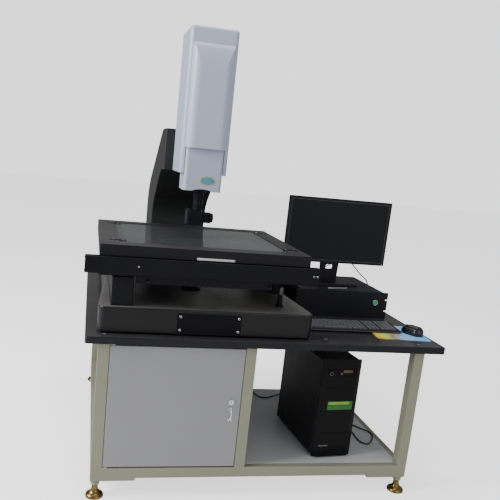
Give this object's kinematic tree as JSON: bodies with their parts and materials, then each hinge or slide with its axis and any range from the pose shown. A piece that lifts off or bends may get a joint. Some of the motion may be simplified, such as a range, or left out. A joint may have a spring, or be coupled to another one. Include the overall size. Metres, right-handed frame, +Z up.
{
  "type": "vision measuring machine",
  "caption": "Motor-driven vision measuring machine with a column-held zoom head over a glass stage, on a steel bench with its controller, display, keyboard, mouse and tower computer.",
  "frame": {"origin": "on the floor, under the middle of the station's footprint", "axes": "+X to the operator's right along the bench, +Y from the operator towards the back, +Z up"},
  "size_m": [1.566, 1.36, 1.95],
  "materials": {
    "bench_top": "black laminate, polished",
    "frame_paint": "satin grey-beige powder coat",
    "shelf_paint": "satin light grey",
    "door_paint": "fine matt light grey",
    "foot_brass": "yellow passivated",
    "steel": "ground",
    "chrome": "polished",
    "rubber": "matt",
    "base_stone": "black granite, honed",
    "black_paint": "textured black",
    "motor_black": "satin black",
    "black_anodised": "black anodised",
    "white_paint": "satin white",
    "stage_paint": "dark grey satin",
    "stage_glass": "polished",
    "case_paint": "fine textured black",
    "button_green": "lit green",
    "black_plastic": "fine matt",
    "screen": "matt black",
    "key_plastic": "matt",
    "pad_cloth": "printed cloth",
    "tower_plastic": "glossy black",
    "cord_black": "matt PVC"
  },
  "bodies": {
    "root": {"bench_top": "bench_top", "bench_legs": "frame_paint", "lower_rails": "frame_paint", "upper_rails": "frame_paint", "shelf": "shelf_paint", "cabinet_panels": "door_paint", "levelling_feet": "foot_brass", "door_pivots": "steel", "base_pads": "rubber", "machine_base": "base_stone", "access_plate": "black_paint", "y_beams": "black_paint", "y_drive_cover": "black_paint", "y_rails": "steel", "y_drive": "motor_black", "contour_light": "black_anodised", "column": "black_paint", "head_housing": "white_paint", "head_front_cover": "white_paint", "z_guide": "steel", "z_drive": "motor_black", "controller_case": "case_paint", "controller_panel": "case_paint", "monitor_base": "black_plastic", "monitor_neck": "black_plastic", "keyboard_case": "black_plastic", "keyboard_keys": "key_plastic", "mouse_shell": "black_plastic", "mouse_pad": "pad_cloth", "tower_case": "case_paint", "tower_front": "tower_plastic", "monitor_cord": "cord_black", "signal_cord": "cord_black", "power_cord": "cord_black", "power_plug": "cord_black"},
    "saddle": {"saddle": "black_paint", "y_carriages": "steel", "x_rails": "steel", "drive_bar": "black_anodised", "x_drive": "motor_black"},
    "stage": {"stage_frame": "stage_paint", "stage_glass": "stage_glass", "x_carriages": "steel"},
    "head_slide": {"z_carriage": "black_anodised", "moving_cover": "white_paint", "zoom_lens": "black_anodised", "ring_light": "black_anodised"},
    "y_screw_body": {"y_screw": "steel"},
    "x_screw_body": {"x_screw": "steel"},
    "z_screw_body": {"z_screw": "steel"},
    "door": {"cabinet_door": "door_paint", "door_handle": "chrome"},
    "lock": {"door_lock": "chrome"},
    "display": {"monitor_housing": "black_plastic", "monitor_screen": "screen"},
    "controller_switch": {"controller_button": "button_green"},
    "tower_switch": {"tower_button": "tower_plastic"},
    "mouse_left": {"mouse_left_button": "black_plastic"},
    "mouse_right": {"mouse_right_button": "black_plastic"},
    "wheel": {"mouse_wheel": "rubber"}
  },
  "joints": [
    {"name": "saddle_y", "type": "slide", "parent": "root", "child": "saddle", "axis": [0, 1, 0], "range_m": [-0.2, 0.2]},
    {"name": "stage_x", "type": "slide", "parent": "saddle", "child": "stage", "axis": [1, 0, 0], "range_m": [-0.25, 0.04]},
    {"name": "head_z", "type": "slide", "parent": "root", "child": "head_slide", "axis": [0, 0, 1], "range_m": [-0.04, 0.16]},
    {"name": "y_screw_turn", "type": "hinge", "parent": "root", "child": "y_screw_body", "pos_m": [-0.619, 0, 0.868], "axis": [0, 1, 0], "continuous": true},
    {"name": "x_screw_turn", "type": "hinge", "parent": "saddle", "child": "x_screw_body", "pos_m": [0, -0.6275, 0.978], "axis": [1, 0, 0], "continuous": true},
    {"name": "z_screw_turn", "type": "hinge", "parent": "root", "child": "z_screw_body", "pos_m": [-0.301, -0.107, 1.6], "axis": [0, 0, 1], "continuous": true},
    {"name": "door_hinge", "type": "hinge", "parent": "root", "child": "door", "pos_m": [-0.653, -0.649, 0.4], "axis": [0, 0, 1], "range_deg": [-105, 0]},
    {"name": "lock_turn", "type": "hinge", "parent": "door", "child": "lock", "pos_m": [-0.155, -0.655, 0.43], "axis": [0, 1, 0], "range_deg": [0, 90]},
    {"name": "monitor_tilt", "type": "hinge", "parent": "root", "child": "display", "pos_m": [0.445, -0.054, 1.08524], "axis": [1, 0, 0], "range_deg": [-20, 5]},
    {"name": "controller_button_press", "type": "slide", "parent": "root", "child": "controller_switch", "axis": [0, 1, 0], "range_m": [0, 0.002], "stiffness_N_per_m": 400},
    {"name": "tower_button_press", "type": "slide", "parent": "root", "child": "tower_switch", "axis": [-0.0872, 0.9962, 0], "range_m": [0, 0.002], "stiffness_N_per_m": 400},
    {"name": "left_click", "type": "hinge", "parent": "root", "child": "mouse_left", "pos_m": [0.70057, -0.48601, 0.722], "axis": [0.848, 0.5299, 0], "range_deg": [-1.5, 0], "stiffness_Nm_per_rad": 2, "springref_deg": 0.57},
    {"name": "right_click", "type": "hinge", "parent": "root", "child": "mouse_right", "pos_m": [0.72601, -0.47012, 0.722], "axis": [0.848, 0.5299, 0], "range_deg": [-1.5, 0], "stiffness_Nm_per_rad": 2, "springref_deg": 0.57},
    {"name": "wheel_turn", "type": "hinge", "parent": "root", "child": "wheel", "pos_m": [0.70184, -0.45975, 0.7335], "axis": [0.848, 0.5299, 0], "continuous": true}
  ],
  "couplings": [
    {"joint": "y_screw_turn", "follows": "saddle_y", "rad_per_m": 314.16},
    {"joint": "x_screw_turn", "follows": "stage_x", "rad_per_m": 314.16},
    {"joint": "z_screw_turn", "follows": "head_z", "rad_per_m": 314.16}
  ]
}
